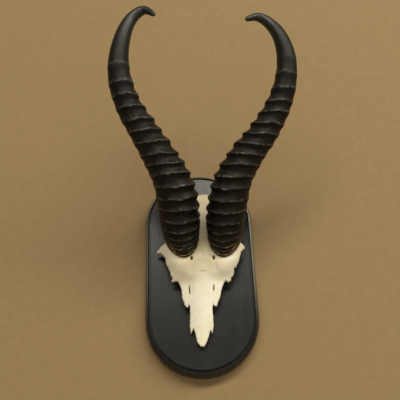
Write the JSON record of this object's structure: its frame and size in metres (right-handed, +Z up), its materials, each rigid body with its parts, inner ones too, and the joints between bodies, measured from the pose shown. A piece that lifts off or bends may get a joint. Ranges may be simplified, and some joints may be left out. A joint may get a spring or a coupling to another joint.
{
  "type": "springbok skull mount",
  "caption": "Springbok skull cap with ringed, inward-hooked horns, mounted on a black-stained wooden wall plaque with round ends and a grooved border.",
  "frame": {"origin": "middle of the plaque's flat back, which lies on the wall", "axes": "+Z up along the plaque, +Y into the wall, +X to the viewer's right"},
  "size_m": [0.2287, 0.1712, 0.4253],
  "materials": {
    "stained_wood": "black stain with fine upright grain, satin",
    "bone": "bleached bone, cream, matte with a slight sheen",
    "horn": "near-black ringed horn, satin, browner at the rim",
    "screw_steel": "zinc-plated"
  },
  "bodies": {
    "root": {"plaque": "stained_wood", "skull": "bone", "horn_left": "horn", "horn_right": "horn", "skull_screw_upper": "screw_steel", "skull_screw_lower": "screw_steel"}
  },
  "joints": []
}
